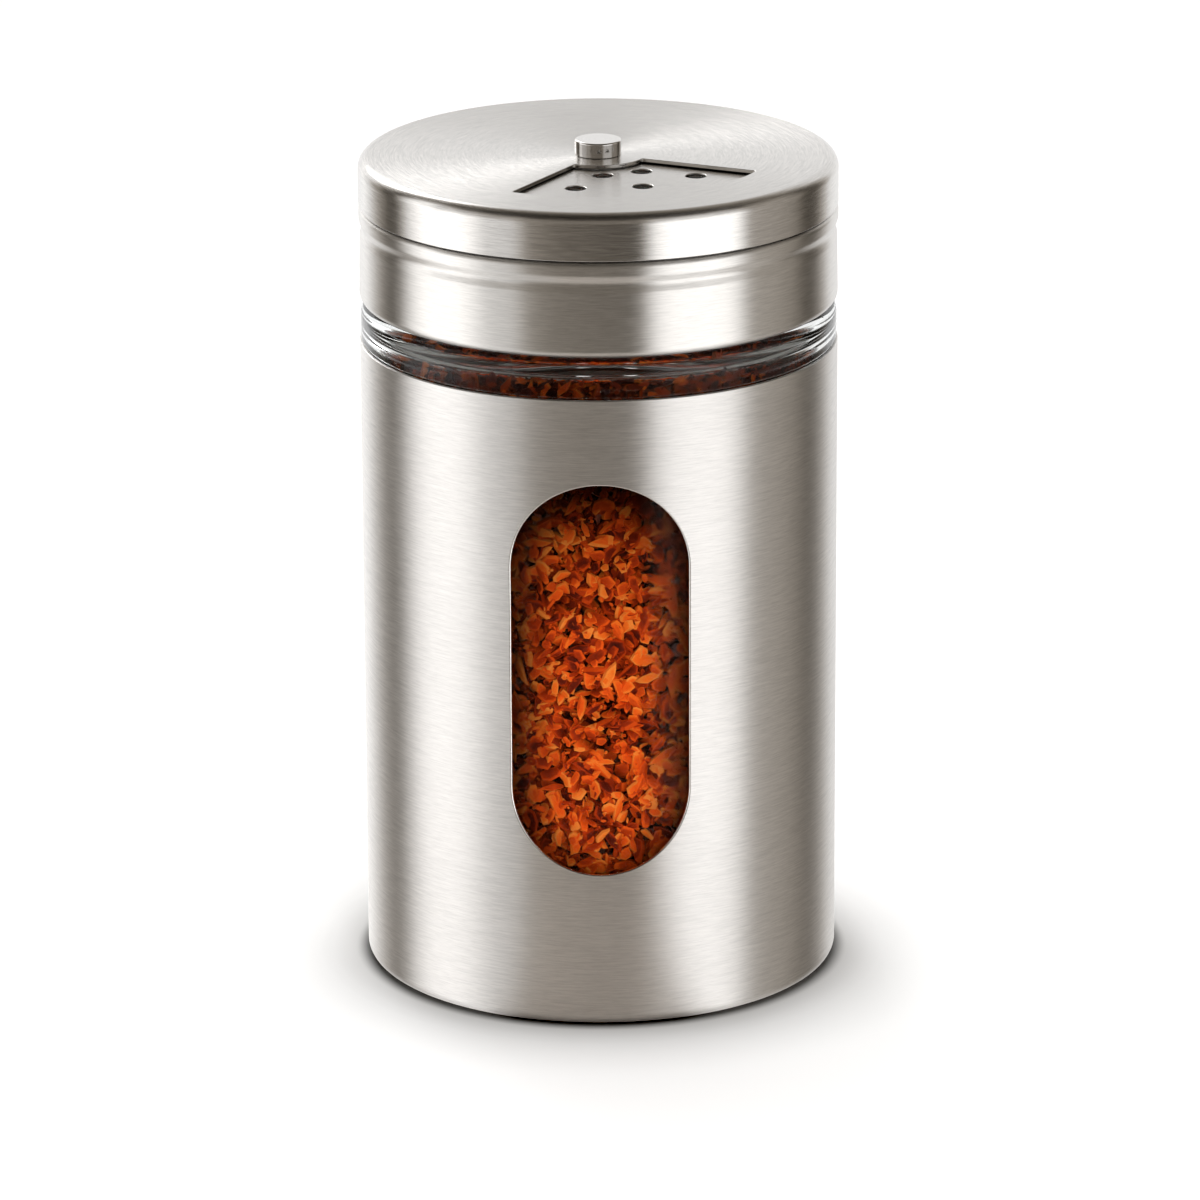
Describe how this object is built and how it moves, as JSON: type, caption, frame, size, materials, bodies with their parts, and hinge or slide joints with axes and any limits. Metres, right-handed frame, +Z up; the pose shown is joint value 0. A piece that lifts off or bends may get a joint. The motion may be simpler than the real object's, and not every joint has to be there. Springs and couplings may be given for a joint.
{
  "type": "spice shaker",
  "caption": "Round glass spice shaker in a windowed steel sleeve, with a screw lid, a perforated sifter plate and a turning cover with a sector cut-out.",
  "frame": {"origin": "centre of the base, on the surface that the shaker stands on", "axes": "+Z up along the shaker's axis, the sleeve's window faces -Y, +X to the right when looking at the window"},
  "size_m": [0.063, 0.063, 0.1121],
  "materials": {
    "brushed_sleeve": "satin",
    "brushed_lid": "satin",
    "polished_steel": "polished",
    "clear_glass": "gloss",
    "seasoning": "matte",
    "insert_plastic": "satin",
    "washer_plastic": "satin",
    "seal_rubber": "matte",
    "cushion_rubber": "matte"
  },
  "bodies": {
    "jar": {"sleeve": "brushed_sleeve", "base_cushion": "cushion_rubber", "glass_jar": "clear_glass", "seasoning_fill": "seasoning"},
    "lid_seal": {"seal_ring": "seal_rubber"},
    "lid_pivot": {"pivot_rivet": "polished_steel", "slip_washer": "washer_plastic", "spring_washer": "polished_steel", "flat_washer": "polished_steel"},
    "lid": {"screw_cap": "brushed_lid", "thread_insert": "insert_plastic", "sifter_plate": "brushed_lid"},
    "dial": {"top_cover": "brushed_lid"}
  },
  "joints": [
    {"name": "lid_lift", "type": "slide", "parent": "jar", "child": "lid_seal", "axis": [0, 0, 1], "range_m": [0, 0.03]},
    {"name": "lid_rise", "type": "slide", "parent": "lid_seal", "child": "lid_pivot", "axis": [0, 0, 1], "range_m": [0, 0.0045]},
    {"name": "lid_turn", "type": "hinge", "parent": "lid_pivot", "child": "lid", "pos_m": [0, 0, 0.1], "axis": [0, 0, 1], "range_deg": [0, 540]},
    {"name": "dial_turn", "type": "hinge", "parent": "lid", "child": "dial", "pos_m": [0, 0, 0.109], "axis": [0, 0, 1], "continuous": true}
  ],
  "couplings": [
    {"joint": "lid_rise", "follows": "lid_turn", "m_per_rad": 0.00047746}
  ]
}
